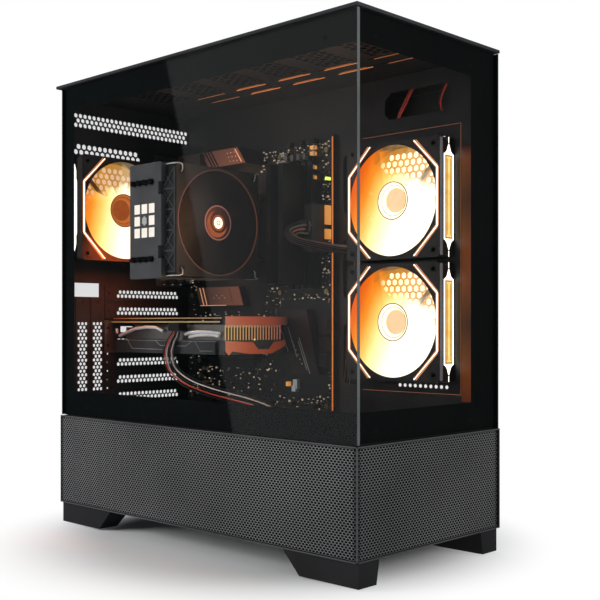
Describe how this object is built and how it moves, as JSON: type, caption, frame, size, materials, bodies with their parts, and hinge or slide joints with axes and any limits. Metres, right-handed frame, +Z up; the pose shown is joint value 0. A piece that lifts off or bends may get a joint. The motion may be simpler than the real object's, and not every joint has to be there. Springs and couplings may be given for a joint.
{
  "type": "desktop computer tower",
  "caption": "Mid-tower desktop computer with frameless dark glass on two sides, a perforated lower band, lit case fans, a tower cooler and a graphics card inside.",
  "frame": {"origin": "centre of the bottom of the bounding box, on the surface the feet stand on", "axes": "+Z up, the front glass faces -Y, the left glass faces -X"},
  "size_m": [0.218, 0.4556, 0.5],
  "materials": {
    "chassis_steel": "satin black powder coat",
    "cover_steel": "fine-textured black powder coat",
    "mesh_steel": "perforated, satin dark grey",
    "glass": "dark tinted, glossy, with a black printed border",
    "foot_plastic": "satin dark grey",
    "pad_rubber": "matt",
    "filter_mesh": "woven nylon in a matt frame",
    "case_plastic": "fine-grained",
    "port_metal": "plated",
    "button_plastic": "translucent",
    "screw_steel": "black zinc",
    "fan_plastic": "satin",
    "lit_blades": "frosted, lit orange",
    "light_guide": "frosted, lit warm white",
    "smoked_blades": "smoky translucent",
    "fin_aluminium": "plain",
    "black_nickel": "black nickel plate",
    "copper_base": "milled",
    "cap_metal": "satin grey",
    "plated_metal": "plated",
    "board_laminate": "black solder mask",
    "standoff_brass": "plain",
    "heatsink_metal": "anodised",
    "socket_plastic": "moulded",
    "memory_metal": "anodised",
    "latch_plastic": "moulded",
    "card_plastic": "satin",
    "card_blades": "moulded",
    "psu_steel": "matt black",
    "drive_metal": "cast and painted",
    "lead_sleeve": "insulated wires in a bundle"
  },
  "bodies": {
    "chassis": {"base_pan": "chassis_steel", "feet": "foot_plastic", "foot_pads": "pad_rubber", "rear_panel": "chassis_steel", "board_tray": "chassis_steel", "roof_panel": "chassis_steel", "front_frame": "chassis_steel", "psu_shroud": "chassis_steel", "top_cover": "cover_steel", "io_panel": "case_plastic", "front_ports": "port_metal", "slot_covers": "chassis_steel", "side_fan_frame_upper": "fan_plastic", "side_fan_frame_lower": "fan_plastic", "rear_fan_frame": "fan_plastic", "fan_lights": "light_guide", "fan_screws": "screw_steel", "cooler_fan_frame": "fan_plastic", "fin_stack": "fin_aluminium", "heat_pipes": "black_nickel", "cooler_base": "copper_base", "cooler_cap": "cap_metal", "cpu_socket": "plated_metal", "motherboard": "board_laminate", "board_standoffs": "standoff_brass", "rear_io_ports": "port_metal", "board_heatsinks": "heatsink_metal", "board_sockets": "socket_plastic", "memory_modules": "memory_metal", "gpu_board": "board_laminate", "gpu_bracket": "plated_metal", "gpu_heatsink": "fin_aluminium", "gpu_shroud": "card_plastic", "psu_case": "psu_steel", "drive_cage": "chassis_steel", "drives": "drive_metal", "main_power_cable": "lead_sleeve", "gpu_power_cable": "lead_sleeve"},
    "upper_side_fan": {"side_fan_rotor_upper": "lit_blades"},
    "lower_side_fan": {"side_fan_rotor_lower": "lit_blades"},
    "rear_fan": {"rear_fan_rotor": "lit_blades"},
    "cooler_fan": {"cooler_fan_rotor": "smoked_blades"},
    "front_card_fan": {"gpu_fan_front": "card_blades"},
    "rear_card_fan": {"gpu_fan_rear": "card_blades"},
    "supply_fan": {"psu_fan": "card_blades"},
    "power_key": {"power_button": "button_plastic"},
    "reset_key": {"reset_button": "button_plastic"},
    "supply_rocker": {"psu_switch": "socket_plastic"},
    "latch_1": {"memory_latch_1": "latch_plastic"},
    "latch_2": {"memory_latch_2": "latch_plastic"},
    "latch_3": {"memory_latch_3": "latch_plastic"},
    "latch_4": {"memory_latch_4": "latch_plastic"},
    "left_window": {"left_glass": "glass"},
    "front_window": {"front_glass": "glass"},
    "left_skirt": {"left_mesh": "mesh_steel"},
    "front_skirt": {"front_mesh": "mesh_steel"},
    "right_side": {"right_panel": "cover_steel", "panel_thumbscrews": "screw_steel"},
    "roof_filter": {"top_filter": "filter_mesh"},
    "supply_filter": {"bottom_filter": "filter_mesh"}
  },
  "joints": [
    {"name": "upper_side_fan_spin", "type": "hinge", "parent": "chassis", "child": "upper_side_fan", "pos_m": [0.0645, -0.13525, 0.353], "axis": [1, 0, 0], "continuous": true},
    {"name": "lower_side_fan_spin", "type": "hinge", "parent": "chassis", "child": "lower_side_fan", "pos_m": [0.0645, -0.13525, 0.229], "axis": [1, 0, 0], "continuous": true},
    {"name": "rear_fan_spin", "type": "hinge", "parent": "chassis", "child": "rear_fan", "pos_m": [-0.0405, 0.20075, 0.36], "axis": [0, 1, 0], "continuous": true},
    {"name": "cooler_fan_spin", "type": "hinge", "parent": "chassis", "child": "cooler_fan", "pos_m": [-0.0166, 0.06275, 0.338], "axis": [0, 1, 0], "continuous": true},
    {"name": "front_card_fan_spin", "type": "hinge", "parent": "chassis", "child": "front_card_fan", "pos_m": [0.0014, 0.06585, 0.2], "axis": [0, 0, 1], "continuous": true},
    {"name": "rear_card_fan_spin", "type": "hinge", "parent": "chassis", "child": "rear_card_fan", "pos_m": [0.0014, 0.15985, 0.2], "axis": [0, 0, 1], "continuous": true},
    {"name": "supply_fan_spin", "type": "hinge", "parent": "chassis", "child": "supply_fan", "pos_m": [-0.013, 0.13875, 0.04], "axis": [0, 0, 1], "continuous": true},
    {"name": "power_key_press", "type": "slide", "parent": "chassis", "child": "power_key", "axis": [0, 0, -1], "range_m": [0, 0.0014], "stiffness_N_per_m": 250, "springref_m": -0.0006},
    {"name": "reset_key_press", "type": "slide", "parent": "chassis", "child": "reset_key", "axis": [0, 0, -1], "range_m": [0, 0.0014], "stiffness_N_per_m": 180, "springref_m": -0.0006},
    {"name": "supply_rocker_tilt", "type": "hinge", "parent": "chassis", "child": "supply_rocker", "pos_m": [-0.02, 0.20875, 0.07], "axis": [1, 0, 0], "range_deg": [0, 15]},
    {"name": "latch_1_turn", "type": "hinge", "parent": "chassis", "child": "latch_1", "pos_m": [0.0644, -0.01175, 0.4105], "axis": [0, 1, 0], "range_deg": [0, 30]},
    {"name": "latch_2_turn", "type": "hinge", "parent": "chassis", "child": "latch_2", "pos_m": [0.0644, -0.0024, 0.4105], "axis": [0, 1, 0], "range_deg": [0, 30]},
    {"name": "latch_3_turn", "type": "hinge", "parent": "chassis", "child": "latch_3", "pos_m": [0.0644, 0.00695, 0.4105], "axis": [0, 1, 0], "range_deg": [0, 30]},
    {"name": "latch_4_turn", "type": "hinge", "parent": "chassis", "child": "latch_4", "pos_m": [0.0644, 0.0163, 0.4105], "axis": [0, 1, 0], "range_deg": [0, 30]},
    {"name": "left_window_pull", "type": "slide", "parent": "chassis", "child": "left_window", "axis": [-1, 0, 0], "range_m": [0, 0.03]},
    {"name": "front_window_pull", "type": "slide", "parent": "chassis", "child": "front_window", "axis": [0, -1, 0], "range_m": [0, 0.03]},
    {"name": "left_skirt_pull", "type": "slide", "parent": "chassis", "child": "left_skirt", "axis": [-1, 0, 0], "range_m": [0, 0.03]},
    {"name": "front_skirt_pull", "type": "slide", "parent": "chassis", "child": "front_skirt", "axis": [0, -1, 0], "range_m": [0, 0.03]},
    {"name": "right_side_slide", "type": "slide", "parent": "chassis", "child": "right_side", "axis": [0, 1, 0], "range_m": [0, 0.04]},
    {"name": "roof_filter_lift", "type": "slide", "parent": "chassis", "child": "roof_filter", "axis": [0, 0, 1], "range_m": [0, 0.03]},
    {"name": "supply_filter_draw", "type": "slide", "parent": "chassis", "child": "supply_filter", "axis": [0, 1, 0], "range_m": [0, 0.14]}
  ]
}
